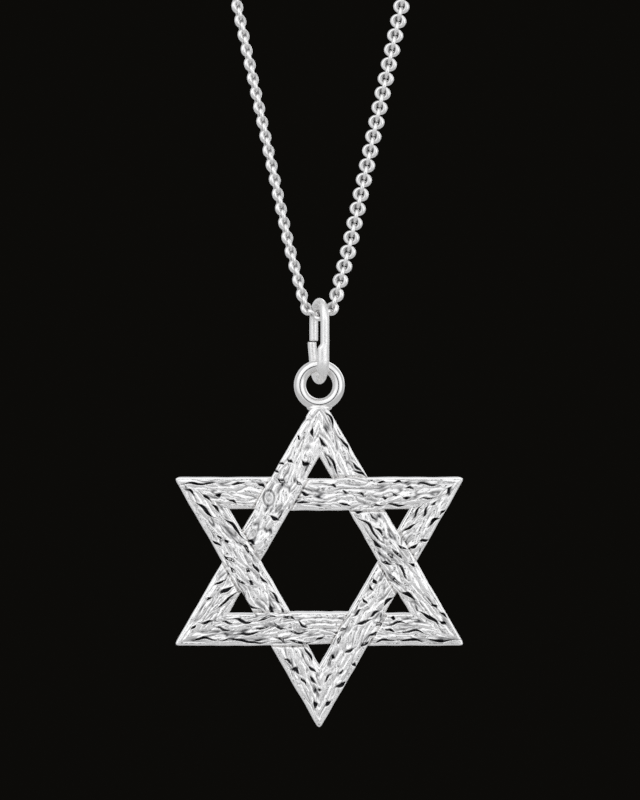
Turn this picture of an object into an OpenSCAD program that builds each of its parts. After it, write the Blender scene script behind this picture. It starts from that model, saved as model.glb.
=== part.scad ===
/* [Chain] */
// Length of the closed necklace, clasp included
loop_length = 450; // [400:10:610]
// Thickness of the chain's envelope
chain_d = 1.1; // [0.9:0.05:1.2]
// Lean of each strand from the vertical
strand_lean = 12.2; // [10:0.1:20]
// Lean of the lowest stretch of each strand, beside the bail
foot_lean = 14.8; // [12:0.1:22]
// Length of that lowest stretch
foot_length = 5; // [3:0.5:8]
// Radius of the chain's bend through the bail, to the middle of the chain
bend_r = 1.3; // [1.25:0.05:2]

/* [Star] */
// Distance from the star's middle to its sharp points, before they are blunted
star_r = 14; // [10:0.5:20]
// Thickness of the star from its plain back to the top of its relief
star_t = 1.9; // [1.4:0.1:2.6]
// Width of the six bars that make the two triangles
bar_w = 2.74; // [2.2:0.02:3.0]
// How much is taken off each sharp point
tip_cut = 0.15; // [0:0.05:0.4]
// How far each small triangular hole is opened into the bars around it
hole_ease = 0.12; // [0:0.02:0.25]
// Height of the cast bark relief above the sunk ground
relief_h = 0.3; // [0.15:0.05:0.5]
// Width of the groove beside a bar that passes over another
groove_w = 0.14; // [0.08:0.02:0.2]

/* [Eye and bail] */
// Width of the flat cut on the star's top point, where the eye ring is soldered
seat_w = 1.35; // [1.1:0.05:1.7]
// Radius of the eye ring, to the middle of its wire
eye_r = 1.62; // [1.5:0.02:1.8]
// Wire diameter of the eye ring
eye_wire = 1.0; // [0.8:0.05:1.1]
// Height of the bail's oval, over its wire
bail_h = 7.2; // [6.6:0.1:9]
// Width of the bail's oval, over its wire
bail_w = 4.1; // [3.9:0.1:5]
// Wire diameter of the bail
bail_wire = 0.72; // [0.6:0.02:0.8]
// Turn of the bail about the vertical, from straight ahead
bail_yaw = 16; // [0:1:20]
// Width of the sawn joint in the bail's back leg
bail_joint = 0.08; // [0.04:0.02:0.2]
// Clearance between the bail's wire and what it carries or hangs on
hang_gap = 0.16; // [0.1:0.02:0.2]

/* [Clasp] */
// Outer diameter of the clasp ring
clasp_d = 6; // [5:0.5:8]
// Wire diameter of the clasp ring
clasp_wire = 1.2; // [1:0.1:1.6]
// Outer diameter of the end loops beside the clasp ring
loop_d = 1.9; // [1.6:0.1:2.4]
// Wire diameter of the end loops
loop_wire = 0.5; // [0.4:0.05:0.6]
// Clearance between the chain's ends and the end loops
end_gap = 0.1; // [0.1:0.05:0.3]

/* [Hidden] */
$fn = 48;
radian = 180 / PI;

// Star: the bars' outer and inner edges lie this far from the star's middle
bar_out = star_r / 2;
bar_in = bar_out - bar_w;
eye_seat = star_r - seat_w / (2 * tan(30));
// The eye ring is sunk into its seat by a quarter of its wire
eye_rise = eye_seat + eye_r + eye_wire / 4;
// How far each crossing groove bites into the bar that passes over
groove_bite = groove_w / 5;

// Clasp: the ring stands on the neck rest, and a loop is sunk into each side by part of its wire
clasp_z = clasp_d / 2;
loop_sink = loop_wire * 0.7;
loop_x = (clasp_d + loop_d) / 2 - loop_sink;
chain_end_x = loop_x + loop_d / 2 + end_gap;

// Chain: radius of the top arc that closes a loop of the stated length
foot_x = bend_r * cos(foot_lean) + foot_length * sin(foot_lean);
top_r = (loop_length - 2 * foot_length + 2 * foot_x / sin(strand_lean)
    - bend_r * (180 - 2 * foot_lean) / radian)
    / (2 / tan(strand_lean) + (180 + 2 * strand_lean) / radian);
strand_length = (top_r * cos(strand_lean) - foot_x) / sin(strand_lean);
top_z = clasp_z - top_r;
strand_top_z = top_z - top_r * sin(strand_lean);
foot_top_z = strand_top_z - strand_length * cos(strand_lean);
bend_z = foot_top_z - foot_length * cos(foot_lean) + bend_r * sin(foot_lean);
chain_low_z = bend_z - bend_r;
end_turn = asin(chain_end_x / top_r);

// Heights of what hangs below: the bail on the chain, and the star's eye on the bail
bail_top_z = chain_low_z + chain_d / 2 + hang_gap + bail_wire;
bail_z = bail_top_z - bail_h / 2;
bail_seat_z = bail_top_z - bail_h + bail_wire / 2;
eye_z = bail_seat_z + bail_wire / 2 + 2 * hang_gap + eye_wire / 2 - eye_r;
star_z = eye_z - eye_rise;
bail_leg = (bail_w - bail_wire) / 2;
bail_straight = bail_h - bail_w;

// Rings of the chain's tube, in number of steps, and the sides of the tube
BEND_STEPS = 8;
STRAND_STEPS = 16;
ARC_STEPS = 12;
TUBE_SIDES = 8;

// Main crevices of the bark relief, in hundredths of star_r from the star's middle.
// Columns: start x, start z, end x, end z, width, bow to the left of that line
TOP_BAR = [
    [-83, 45, -60, 47, 1.2, 0.5], [-53, 46, -44, 47, 1.2, 0], [-37, 47, -32, 44, 1.5, 0],
    [-62, 39, -58, 40, 2.4, 0], [-54, 37, -49, 34, 1.5, 0], [-70, 40, -65, 36, 1.5, 0],
    [-12, 41, -5, 39, 1.5, 0.5], [-14, 35, -6, 35, 1.5, 0.3], [6, 45, 10, 44, 1.5, 1],
    [13, 42, 18, 40, 1.5, 0.6], [22, 40, 27, 39, 1.5, 0.6], [34, 47, 39, 47, 1.4, 0],
    [44, 47, 49, 46.5, 1.4, 1], [51, 44, 57, 43, 1.5, 0.5], [59, 47, 71, 45, 1.4, 0.6],
    [37, 38.5, 41, 37.5, 1.2, 0], [43, 40.5, 47, 39.5, 1.2, 0], [49.5, 38.5, 54, 37.5, 1.3, 0],
    [11, 35, 19, 32.5, 1.3, 1], [40, 33, 52, 33, 1.3, 1.2], [28, 32.5, 38, 34, 1.2, 0],
];
LEFT_UP_BAR = [
    [-8, 87, -12, 79, 1.4, 0.5], [-4, 80, -4, 74.5, 2.6, 0], [-13, 75, -11, 72.5, 1.4, 0],
    [-19, 61, -16, 59, 1.5, 0], [-10, 60, -6, 57.5, 2.4, 0], [-25, 59.5, -21, 57.5, 1.4, 0],
    [-27.5, 55, -24, 52.5, 1.4, 0], [-25, 49, -20, 46, 2.4, 0.5], [-14, 48, -11, 45.5, 1.5, 0],
    [-30, 27, -24, 24, 2.8, 0.5], [-43, 12.5, -38, 10, 2.2, 0.5], [-62, -14, -56, -11, 1.5, 0.5],
    [-60, -20.5, -51, -15, 1.6, 0.6], [-67, -23, -64, -21, 1.6, 0], [-61, -28, -48, -19, 1.6, 1],
    [-76, -41, -73, -38, 1.6, 0],
];
RIGHT_UP_BAR = [
    [3, 89, 8, 79, 1.4, 1.6], [11, 74, 18, 64, 1.4, 1.8], [19, 58.5, 25, 53, 1.5, 0.4],
    [20, 54, 28, 50.5, 1.4, 0.6], [-1, 74, 5, 67, 1.6, 0.4], [4, 65, 12, 50, 1.5, 0.9],
    [21, 29, 26, 28.5, 2, 0.3], [23, 26, 37, 12, 1.5, 0.9], [29, 29, 34, 24, 1.5, 0.4],
    [33, 20, 38, 15, 1.5, 0.4], [39, 29, 49, 14, 1.5, 1.6], [31, 13, 37, 7, 2, 0.4],
    [47, 10, 52, 7, 1.5, 0.3], [41, 5.5, 44.5, 2, 1.4, 0], [43, 8.5, 49, 0.5, 1.5, 0.4],
    [37, -0.5, 43, -2.5, 1.9, 0.4], [45, -1, 52, -10, 2, 0.6], [43, -8, 48, -13, 1.5, 0],
    [54, -1, 57, -3.5, 1.5, 0], [49, -18, 57, -23, 2, 0.5], [59, -30, 71, -40, 1.6, 2.2],
    [67, -24, 70, -27.5, 1.5, 0], [72, -30, 76, -33.5, 1.5, 0.4], [71, -36, 75, -37.5, 1.5, 0],
];
LEFT_DOWN_BAR = [
    [-80, 43, -74, 39, 1.5, 1.5], [-74, 35, -63, 26, 2, 0.8], [-64, 34, -59, 28, 1.5, 0.4],
    [-57, 26, -44, 13, 1.6, 0.9], [-61, 16.5, -58, 13, 1.5, 0], [-56, 13.5, -54, 10.5, 2.2, 0],
    [-64, 12, -59, 8, 1.4, 0.4], [-48, 11, -41, 4.5, 1.5, 0.5], [-57, 4, -50, -1.5, 2.2, 0.5],
    [-53, -4, -49.5, -6.5, 2.4, 0], [-50, -10, -44, -14.5, 1.5, 0.4], [-44, -4.5, -41, -6.5, 2.2, 0],
    [-42, -11.5, -39, -14, 2.2, 0], [-40, -0.5, -36.5, -7, 1.5, 0], [-36, -8, -31, -13.5, 1.5, 0.4],
    [-46, -18, -36, -29, 1.6, -1.4], [-31, -26, -27, -32, 2.2, 0.3], [-29, -18, -23, -25, 1.5, 0.4],
    [-10, -50.5, -4, -60, 1.6, 0.6], [-21, -57.5, -16, -61.5, 1.5, 0.3], [-17, -64, -11.5, -66.5, 3, 0.8],
    [-7, -62, -2, -66, 1.6, 0.4], [-11, -69, -8, -73, 1.5, 0], [-6, -68.5, -2, -73, 1.5, 0.3],
    [-3, -82, -2, -87.5, 2.6, 0],
];
RIGHT_DOWN_BAR = [
    [75, 40, 79, 44.5, 2, 0.3], [59, 36.5, 69, 38, 1.3, 0.5], [67, 33, 70, 35.5, 1.4, 0],
    [62, 26.5, 65, 33, 1.4, 0.4], [56, 25.5, 61, 33, 1.5, 0.5], [50.5, 17.5, 58, 23, 1.5, 0.8],
    [65, 21, 72, 26, 2, 0.4], [72, 28.5, 75, 31.5, 1.5, 0], [60, 11.5, 65, 13, 1.5, 0.3],
    [53, 6, 59, 10, 1.6, 0.4], [31.5, -10, 34, -13.5, 2.4, 0], [29.5, -14.5, 32.5, -17.5, 1.5, 0],
    [26, -22, 29, -25, 1.5, 0], [20, -32.5, 25, -28.5, 1.5, 0.4], [30, -33, 35.5, -29.5, 2, 0.4],
    [21, -39, 32, -35, 1.6, 0.8], [12.5, -41, 16, -39, 1.6, 0], [12.5, -44, 10.5, -48.5, 2, 0.3],
    [24, -51.5, 30, -46.5, 2, 0.4], [34, -38, 37.5, -36, 2.2, 0], [30, -44, 33.5, -42, 1.5, 0],
    [38, -26.5, 44, -21.5, 2, 0.4], [15, -55.5, 21, -51.5, 1.6, 0.4], [7, -56, 9.5, -58, 2.2, 0],
    [19, -60, 22, -62, 2.2, 0], [10.5, -66, 15, -64.5, 1.5, -0.9], [3, -71, 8, -67, 1.5, 0.3],
    [9, -76, 16, -71.5, 2.4, 0.5], [4, -86.5, 7, -83, 2.2, 0], [-1.5, -76, 1.5, -76.5, 1.5, 0],
];
BOTTOM_BAR = [
    [-75, -47, -61, -46, 1.4, 0.6], [-59, -46, -30, -47, 1.4, -0.9], [-26, -45, -20, -48, 1.5, 0.4],
    [-18, -47.5, -4, -47.5, 1.4, -0.5], [-2, -47, 3, -45, 1.5, 0.3], [33, -48, 45, -47, 1.4, 0.6],
    [47.5, -47, 61, -48, 1.4, 1.3], [63, -47.5, 82, -47.5, 1.3, 0.7], [-52, -34.5, -39, -35, 1.5, -0.7],
    [-37, -35, -24, -33, 1.5, 0.4], [-22, -33, -14, -35, 1.4, 0.5], [-12.5, -35.5, -7, -40, 1.5, 0.5],
    [-62, -39, -52, -40.5, 1.5, -0.6], [-51, -43.5, -34, -43, 1.4, 0.4], [-39, -40, -29.5, -40, 1.4, 0.3],
    [-27, -37, -20.5, -40, 1.5, -0.5], [-19, -42, -9, -42.5, 1.4, 0.4], [-59, -36, -50.5, -37.5, 1.3, 0.3],
    [-71, -37, -63, -35.5, 1.3, 0.3], [42.5, -33, 45.5, -34, 2.2, 0], [39, -37.5, 52, -37, 1.4, 0.6],
    [38, -41, 45.5, -41.5, 1.4, 0.4], [48, -42, 63, -43, 1.4, 0.8],
];
CREVICES = concat(TOP_BAR, LEFT_UP_BAR, RIGHT_UP_BAR, LEFT_DOWN_BAR, RIGHT_DOWN_BAR, BOTTOM_BAR);
// The one knot in the bark, in hundredths of star_r: its middle x, middle z and radius
KNOT = [-30, 37.6, 3.9];

// A point at a distance along a direction from a start, both in the plane of the star
function along(p, a, d) = [p.x + d * cos(a), p.y + d * sin(a)];

// The star's outline: six blunted points and the six notches between them
function star_points() = [for (k = [0 : 5]) let (a = 90 + 60 * k, tip = along([0, 0], a, star_r))
    each [along(tip, a - 150, tip_cut / cos(30)), along(tip, a + 150, tip_cut / cos(30)),
        along([0, 0], a + 30, star_r / sqrt(3))]];

// One crevice: a thin lens whose middle line bows sideways and waves once
function crevice_points(c) = let (
        a = [c[0], c[1]] * star_r / 100, b = [c[2], c[3]] * star_r / 100,
        side = [-(b - a).y, (b - a).x] / norm(b - a) * star_r / 100, steps = 5)
    [for (e = [1, -1], i = [e > 0 ? 0 : 1 : e > 0 ? steps : steps - 1])
        let (s = e > 0 ? i / steps : 1 - i / steps)
        a + (b - a) * s + side * (4 * c[5] * s * (1 - s) + 0.4 * sin(360 * s)
            + e * c[4] / 2 * pow(sin(180 * s), 0.7))];

// The small hole inside a point of the star
module point_hole() {
    apex = 2 * (bar_in + hole_ease);
    base = bar_out - hole_ease;
    half = (apex - base) * tan(30);
    polygon([[0, apex], [-half, base], [half, base]]);
}

// The pierced face: the outline less the window, the six small holes and the seat of the eye
module star_face() {
    difference() {
        polygon(star_points());
        circle(r = bar_in / cos(30), $fn = 6);
        for (k = [0 : 5]) rotate(60 * k) point_hole();
        translate([-star_r, eye_seat]) square([2 * star_r, star_r]);
    }
}

// Grooves on both sides of the bar that passes over, at one crossing, run out past both of its corners
module crossing_grooves() {
    over = bar_w / sin(60);
    inner = [bar_in / cos(30), 0];
    outer = [(bar_out + bar_in) / (2 * cos(30)), bar_w];
    for (g = [[inner, -1], [outer, 1]]) {
        start = along(g[0], 120, groove_w);
        end = along(g[0], -60, over + groove_w);
        under = g[1] * groove_w;
        bite = -g[1] * groove_bite;
        polygon([along(start, 30, bite), along(end, 30, bite), along(end, 30, under), along(start, 30, under)]);
    }
}

module knot_groove() {
    translate([KNOT.x, KNOT.y] * star_r / 100) difference() {
        circle(r = KNOT.z * star_r / 100 + groove_w / 2);
        circle(r = KNOT.z * star_r / 100 - groove_w / 2);
    }
}

module star() {
    color([0.86, 0.86, 0.88]) translate([0, 0, star_z]) rotate([90, 0, 0]) {
        translate([0, 0, -star_t / 2]) linear_extrude(star_t - relief_h) star_face();
        translate([0, 0, star_t / 2 - relief_h]) linear_extrude(relief_h) difference() {
            star_face();
            for (c = CREVICES) polygon(crevice_points(c));
            for (k = [0 : 5]) rotate(60 * k) crossing_grooves();
            knot_groove();
        }
        translate([0, eye_rise, 0]) rotate_extrude() translate([eye_r, 0]) circle(d = eye_wire);
    }
}

module bail() {
    color([0.9, 0.9, 0.92]) translate([0, 0, bail_z]) rotate([0, 0, bail_yaw - 90]) rotate([90, 0, 0])
    difference() {
        union() {
            for (k = [0, 180]) rotate([0, 0, k]) {
                translate([0, bail_straight / 2, 0]) rotate_extrude(angle = 180)
                    translate([bail_leg, 0]) circle(d = bail_wire);
                translate([bail_leg, bail_straight / 2, 0]) rotate([90, 0, 0])
                    cylinder(d = bail_wire, h = bail_straight);
            }
        }
        translate([-bail_leg, 0, 0]) cube([2 * bail_wire, bail_joint, 2 * bail_wire], center = true);
    }
}

// The chain's middle line from its left end, down through the bail and up to its right end
function left_half() = concat(
    [for (i = [0 : ARC_STEPS]) let (a = end_turn + (90 + strand_lean - end_turn) * i / ARC_STEPS)
        [-top_r * sin(a), top_z + top_r * cos(a)]],
    [for (i = [1 : STRAND_STEPS]) let (d = strand_length * i / STRAND_STEPS)
        [-top_r * cos(strand_lean) + d * sin(strand_lean), strand_top_z - d * cos(strand_lean)]],
    [for (i = [0 : BEND_STEPS / 2 - 1]) let (a = foot_lean + (90 - foot_lean) * i / (BEND_STEPS / 2))
        [-bend_r * cos(a), bend_z - bend_r * sin(a)]]);
function chain_route() = let (half = left_half(), n = len(half))
    concat(half, [[0, chain_low_z]], [for (i = [n - 1 : -1 : 0]) [-half[i].x, half[i].y]]);

// A tube carried along a route in the plane y = 0, a ring of corners at each point
function tube_corners(route, d) = [for (i = [0 : len(route) - 1])
    let (t = route[min(i + 1, len(route) - 1)] - route[max(i - 1, 0)], n = [t.y, -t.x] / norm(t))
    for (k = [0 : TUBE_SIDES - 1]) let (a = 360 * (k + 0.5) / TUBE_SIDES, r = d / 2)
        [route[i].x + n.x * r * cos(a), r * sin(a), route[i].y + n.y * r * cos(a)]];
function tube_faces(rings) = let (m = TUBE_SIDES) concat(
    [[for (k = [0 : m - 1]) k], [for (k = [m - 1 : -1 : 0]) (rings - 1) * m + k]],
    [for (i = [0 : rings - 2], k = [0 : m - 1]) let (a = i * m + k, b = i * m + (k + 1) % m)
        each [[a, a + m, b], [b, a + m, b + m]]]);

module chain() {
    route = chain_route();
    color([0.82, 0.82, 0.84]) polyhedron(tube_corners(route, chain_d), tube_faces(len(route)));
}

module clasp() {
    color([0.84, 0.84, 0.86]) translate([0, 0, clasp_z]) rotate([90, 0, 0]) {
        rotate_extrude() translate([(clasp_d - clasp_wire) / 2, 0]) circle(d = clasp_wire);
        for (e = [-1, 1]) translate([e * loop_x, 0, 0]) rotate_extrude()
            translate([(loop_d - loop_wire) / 2, 0]) circle(d = loop_wire);
    }
}

star();
bail();
chain();
clasp();
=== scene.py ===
# %% [markdown]
# # A star of David pendant on a fine link chain
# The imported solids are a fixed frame: they say where every piece is and how it moves.
# This script keeps that frame and dresses it. Each piece is a surface worked out with numpy,
# as a function of two parameters on a grid, so that its relief and its finish can be computed
# at every point. Lengths are worked out in millimetres and turned into metres at the end.

import bpy
import numpy as np
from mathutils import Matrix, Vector


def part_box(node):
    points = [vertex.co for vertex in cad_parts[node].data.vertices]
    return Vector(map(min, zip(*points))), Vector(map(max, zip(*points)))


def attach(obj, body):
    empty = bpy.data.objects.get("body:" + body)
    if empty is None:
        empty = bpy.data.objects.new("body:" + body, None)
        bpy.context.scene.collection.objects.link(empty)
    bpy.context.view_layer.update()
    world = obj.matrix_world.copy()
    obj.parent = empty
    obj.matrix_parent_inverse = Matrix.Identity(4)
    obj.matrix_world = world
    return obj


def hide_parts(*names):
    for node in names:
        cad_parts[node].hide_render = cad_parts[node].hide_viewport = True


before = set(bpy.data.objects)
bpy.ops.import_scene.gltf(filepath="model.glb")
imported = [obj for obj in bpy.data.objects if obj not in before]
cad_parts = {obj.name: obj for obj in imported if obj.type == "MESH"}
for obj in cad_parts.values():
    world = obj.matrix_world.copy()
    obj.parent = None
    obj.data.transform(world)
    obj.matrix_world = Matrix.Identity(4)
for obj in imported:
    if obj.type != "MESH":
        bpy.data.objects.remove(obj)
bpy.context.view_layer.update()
MM = 0.001

# %% [markdown]
# ## Sizes that the pieces share
# The solids' own boxes give the places, and the sizes below are the real ones in millimetres.
# The star hangs in the plane y = 0, with its relief towards -Y and its plain back towards +Y.

# %% Sizes
STAR_R, STAR_T, BAR_W, TIP_CUT = 14.0, 1.9, 2.74, 0.15
BAR_OUT = STAR_R / 2
BAR_IN = BAR_OUT - BAR_W
HOLE_EASE = 0.12
EYE_R, EYE_WIRE = 1.62, 1.0
BAIL_H, BAIL_W, BAIL_WIRE, BAIL_YAW = 7.2, 4.1, 0.72, 16.0
CHAIN_D, HANG_GAP = 1.1, 0.16

star_low, star_high = (np.array(c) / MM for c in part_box("star"))
bail_low, bail_high = (np.array(c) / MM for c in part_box("bail"))
chain_top = max(corner[2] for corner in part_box("chain")) / MM
clasp_low, clasp_high = (np.array(c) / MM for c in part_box("clasp"))
EYE_Z = star_high[2] - EYE_R - EYE_WIRE / 2
STAR_Z = star_low[2] + STAR_R - TIP_CUT
BAIL_Z = (bail_low[2] + bail_high[2]) / 2
CHAIN_Z = bail_high[2] - BAIL_WIRE - HANG_GAP - CHAIN_D / 2
CLASP_Z = (clasp_low[2] + clasp_high[2]) / 2
print(f"star middle {STAR_Z:.2f}, eye {EYE_Z:.2f}, bail {BAIL_Z:.2f}, chain's lowest middle {CHAIN_Z:.2f} mm")

# %% [markdown]
# ## The camera
# The photograph looks straight at the star from a little above its middle, with hardly any
# perspective. A long lens gives that, so the camera stands well back. It comes first, because
# everything else is judged through it.

# %% Camera
MM_PER_PX = 0.0836
PHOTO_W, PHOTO_H = 640, 800
STAR_PX, STAR_PY = 319.3, 561.0
LENS, SENSOR = 135.0, 36.0
view_h = PHOTO_H * MM_PER_PX
cam_data = bpy.data.cameras.new("photo_camera")
cam_data.lens, cam_data.sensor_width = LENS, SENSOR
camera = bpy.data.objects.new("photo_camera", cam_data)
bpy.context.scene.collection.objects.link(camera)
distance = view_h / SENSOR * LENS
camera.location = Vector((
    (PHOTO_W / 2 - STAR_PX) * MM_PER_PX,
    -distance,
    STAR_Z + (STAR_PY - PHOTO_H / 2) * MM_PER_PX)) * MM
camera.rotation_euler = (np.pi / 2, 0, 0)
cam_data.clip_start, cam_data.clip_end = 0.01, 10.0
bpy.context.scene.camera = camera
print(f"camera {distance:.0f} mm in front of the star, {view_h:.1f} mm of picture height")

# %% [markdown]
# ## From a grid to a mesh
# A grid of points with two parameters becomes a mesh by joining neighbours with quads. A
# parameter that runs round a closed loop joins its last row to its first. One helper does that
# for every piece here, and also stores a value at each point, which a material can read.

# %% Grid helper
def grid_faces(rows, cols, close_rows, close_cols, flip=False):
    """Quads between neighbours (i, j), (i+1, j), (i+1, j+1), (i, j+1) of a rows x cols grid,
    with the indices taken round where a parameter is closed."""
    i = np.arange(rows if close_rows else rows - 1)
    j = np.arange(cols if close_cols else cols - 1)
    i, j = np.meshgrid(i, j, indexing="ij")
    i2, j2 = (i + 1) % rows, (j + 1) % cols
    quads = np.stack([i * cols + j, i2 * cols + j, i2 * cols + j2, i * cols + j2], -1).reshape(-1, 4)
    return quads[:, ::-1] if flip else quads


def make_piece(name, points, faces, body, nodes=(), values=None):
    """Puts points (mm) and faces into one smooth mesh at the origin, and rides it on body. Each of
    the values is stored at the points, under its own name."""
    mesh = bpy.data.meshes.new(name)
    mesh.from_pydata((np.asarray(points) * MM).tolist(), [], [list(f) for f in np.asarray(faces).tolist()])
    mesh.polygons.foreach_set("use_smooth", [True] * len(mesh.polygons))
    for key, value in (values or {}).items():
        layer = mesh.attributes.new(key, "FLOAT", "POINT")
        layer.data.foreach_set("value", np.asarray(value, np.float32).ravel())
    mesh.update()
    piece = bpy.data.objects.new(name, mesh)
    bpy.context.scene.collection.objects.link(piece)
    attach(piece, body)
    if nodes:
        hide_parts(*nodes)
    triangles = sum(len(p.vertices) - 2 for p in mesh.polygons)
    print(f"{name}: {len(mesh.vertices)} points, {triangles} triangles")
    return piece


# %% [markdown]
# ## Noise for the bark
# Cast bark isn't random speckle: its ridges run along each bar and wander. Gradient noise gives
# smooth wandering values. Its lattice repeats in the first direction, because a frame of three
# bars is one closed loop and its start has to meet its end.

# %% Gradient noise
def smooth_step(x):
    """0 below 0, 1 above 1, and 3x^2 - 2x^3 between."""
    x = np.clip(x, 0, 1)
    return x * x * (3 - 2 * x)


def noise(x, y, period, seed):
    """Gradient noise: a random slope at each whole number, blended smoothly between its four
    corners. x repeats after `period` cells."""
    rng = np.random.default_rng(seed)
    turn = rng.uniform(0, 2 * np.pi, (period, 64))
    xi, yi = np.floor(x).astype(int), np.floor(y).astype(int)
    fx, fy = x - xi, y - yi

    def corner(dx, dy):
        a = turn[(xi + dx) % period, (yi + dy) % 64]
        return np.cos(a) * (fx - dx) + np.sin(a) * (fy - dy)

    sx, sy = smooth_step(fx), smooth_step(fy)
    low = corner(0, 0) * (1 - sx) + corner(1, 0) * sx
    high = corner(0, 1) * (1 - sx) + corner(1, 1) * sx
    return (low * (1 - sy) + high * sy) * 1.5


# %% [markdown]
# ## The chart of crevices
# The eye knows this star by its dark wavy crevices, so the main ones are charted bar by
# bar, in hundredths of the star's radius from its middle. A row holds the start, the end, the
# width and the bow to the left of that line. The solid star is cut with the same chart, and here
# each crevice gets a round floor and a soft lip.

# %% Crevice chart
TOP_BAR = [
    (-83, 45, -60, 47, 1.2, 0.5), (-53, 46, -44, 47, 1.2, 0), (-37, 47, -32, 44, 1.5, 0),
    (-62, 39, -58, 40, 2.4, 0), (-54, 37, -49, 34, 1.5, 0), (-70, 40, -65, 36, 1.5, 0),
    (-12, 41, -5, 39, 1.5, 0.5), (-14, 35, -6, 35, 1.5, 0.3), (6, 45, 10, 44, 1.5, 1),
    (13, 42, 18, 40, 1.5, 0.6), (22, 40, 27, 39, 1.5, 0.6), (34, 47, 39, 47, 1.4, 0),
    (44, 47, 49, 46.5, 1.4, 1), (51, 44, 57, 43, 1.5, 0.5), (59, 47, 71, 45, 1.4, 0.6),
    (37, 38.5, 41, 37.5, 1.2, 0), (43, 40.5, 47, 39.5, 1.2, 0), (49.5, 38.5, 54, 37.5, 1.3, 0),
    (11, 35, 19, 32.5, 1.3, 1), (40, 33, 52, 33, 1.3, 1.2), (28, 32.5, 38, 34, 1.2, 0),
]
LEFT_UP_BAR = [
    (-8, 87, -12, 79, 1.4, 0.5), (-4, 80, -4, 74.5, 2.6, 0), (-13, 75, -11, 72.5, 1.4, 0),
    (-19, 61, -16, 59, 1.5, 0), (-10, 60, -6, 57.5, 2.4, 0), (-25, 59.5, -21, 57.5, 1.4, 0),
    (-27.5, 55, -24, 52.5, 1.4, 0), (-25, 49, -20, 46, 2.4, 0.5), (-14, 48, -11, 45.5, 1.5, 0),
    (-30, 27, -24, 24, 2.8, 0.5), (-43, 12.5, -38, 10, 2.2, 0.5), (-62, -14, -56, -11, 1.5, 0.5),
    (-60, -20.5, -51, -15, 1.6, 0.6), (-67, -23, -64, -21, 1.6, 0), (-61, -28, -48, -19, 1.6, 1),
    (-76, -41, -73, -38, 1.6, 0),
]
RIGHT_UP_BAR = [
    (3, 89, 8, 79, 1.4, 1.6), (11, 74, 18, 64, 1.4, 1.8), (19, 58.5, 25, 53, 1.5, 0.4),
    (20, 54, 28, 50.5, 1.4, 0.6), (-1, 74, 5, 67, 1.6, 0.4), (4, 65, 12, 50, 1.5, 0.9),
    (21, 29, 26, 28.5, 2, 0.3), (23, 26, 37, 12, 1.5, 0.9), (29, 29, 34, 24, 1.5, 0.4),
    (33, 20, 38, 15, 1.5, 0.4), (39, 29, 49, 14, 1.5, 1.6), (31, 13, 37, 7, 2, 0.4),
    (47, 10, 52, 7, 1.5, 0.3), (41, 5.5, 44.5, 2, 1.4, 0), (43, 8.5, 49, 0.5, 1.5, 0.4),
    (37, -0.5, 43, -2.5, 1.9, 0.4), (45, -1, 52, -10, 2, 0.6), (43, -8, 48, -13, 1.5, 0),
    (54, -1, 57, -3.5, 1.5, 0), (49, -18, 57, -23, 2, 0.5), (59, -30, 71, -40, 1.6, 2.2),
    (67, -24, 70, -27.5, 1.5, 0), (72, -30, 76, -33.5, 1.5, 0.4), (71, -36, 75, -37.5, 1.5, 0),
]
LEFT_DOWN_BAR = [
    (-80, 43, -74, 39, 1.5, 1.5), (-74, 35, -63, 26, 2, 0.8), (-64, 34, -59, 28, 1.5, 0.4),
    (-57, 26, -44, 13, 1.6, 0.9), (-61, 16.5, -58, 13, 1.5, 0), (-56, 13.5, -54, 10.5, 2.2, 0),
    (-64, 12, -59, 8, 1.4, 0.4), (-48, 11, -41, 4.5, 1.5, 0.5), (-57, 4, -50, -1.5, 2.2, 0.5),
    (-53, -4, -49.5, -6.5, 2.4, 0), (-50, -10, -44, -14.5, 1.5, 0.4), (-44, -4.5, -41, -6.5, 2.2, 0),
    (-42, -11.5, -39, -14, 2.2, 0), (-40, -0.5, -36.5, -7, 1.5, 0), (-36, -8, -31, -13.5, 1.5, 0.4),
    (-46, -18, -36, -29, 1.6, -1.4), (-31, -26, -27, -32, 2.2, 0.3), (-29, -18, -23, -25, 1.5, 0.4),
    (-10, -50.5, -4, -60, 1.6, 0.6), (-21, -57.5, -16, -61.5, 1.5, 0.3), (-17, -64, -11.5, -66.5, 3, 0.8),
    (-7, -62, -2, -66, 1.6, 0.4), (-11, -69, -8, -73, 1.5, 0), (-6, -68.5, -2, -73, 1.5, 0.3),
    (-3, -82, -2, -87.5, 2.6, 0),
]
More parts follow.
